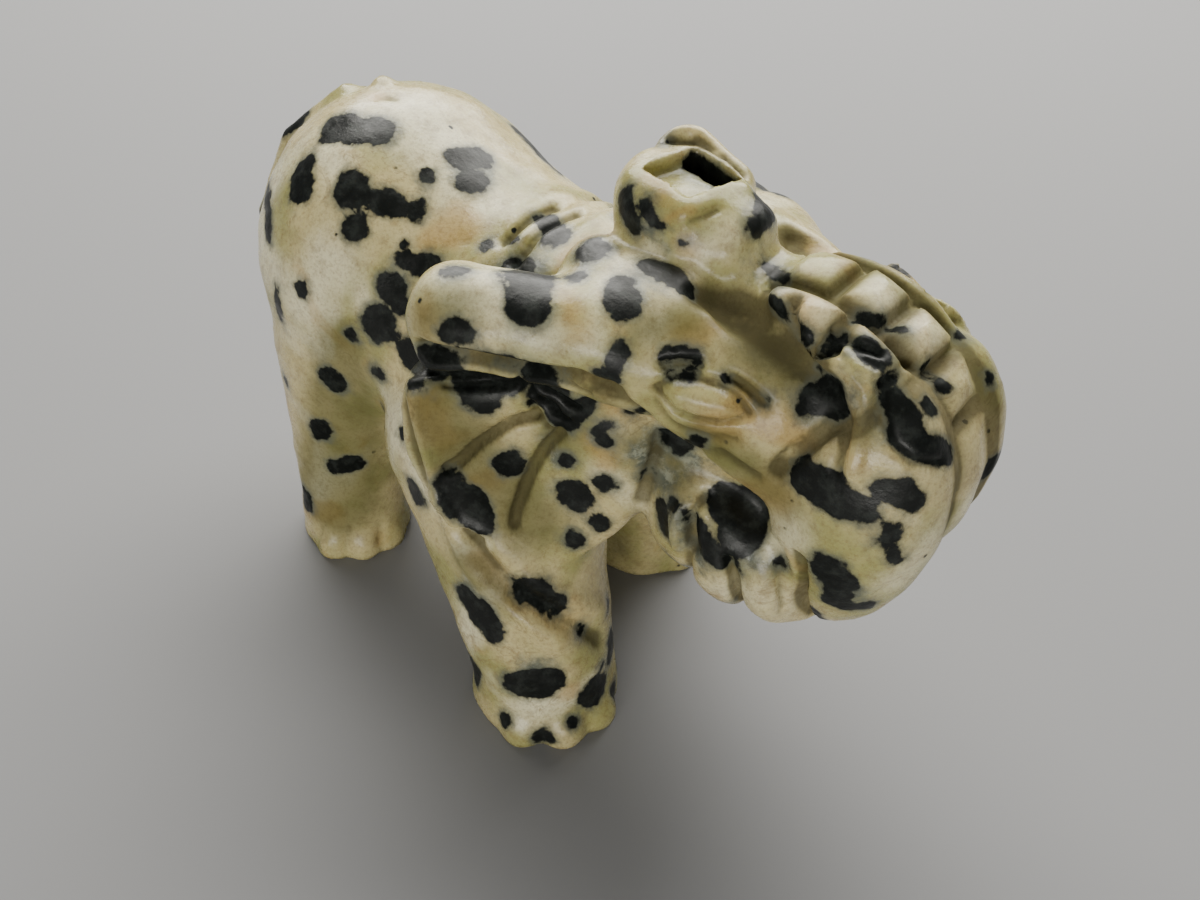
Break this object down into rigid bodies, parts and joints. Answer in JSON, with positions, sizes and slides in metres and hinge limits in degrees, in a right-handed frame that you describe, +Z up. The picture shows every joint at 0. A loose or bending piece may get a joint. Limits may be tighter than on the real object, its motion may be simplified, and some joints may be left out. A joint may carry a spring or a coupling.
{
  "type": "carved elephant figurine",
  "caption": "Small polished stone elephant on four flat soles, its trunk folded back over the forehead.",
  "frame": {"origin": "on the standing surface, under the middle of the figure's bounding box", "axes": "+X the way the elephant faces, +Y its left side, +Z up"},
  "size_m": [0.05, 0.0268, 0.0369],
  "materials": {
    "stone": "polished pale cream rock with near-black spots"
  },
  "bodies": {
    "root": {"elephant": "stone"}
  },
  "joints": []
}
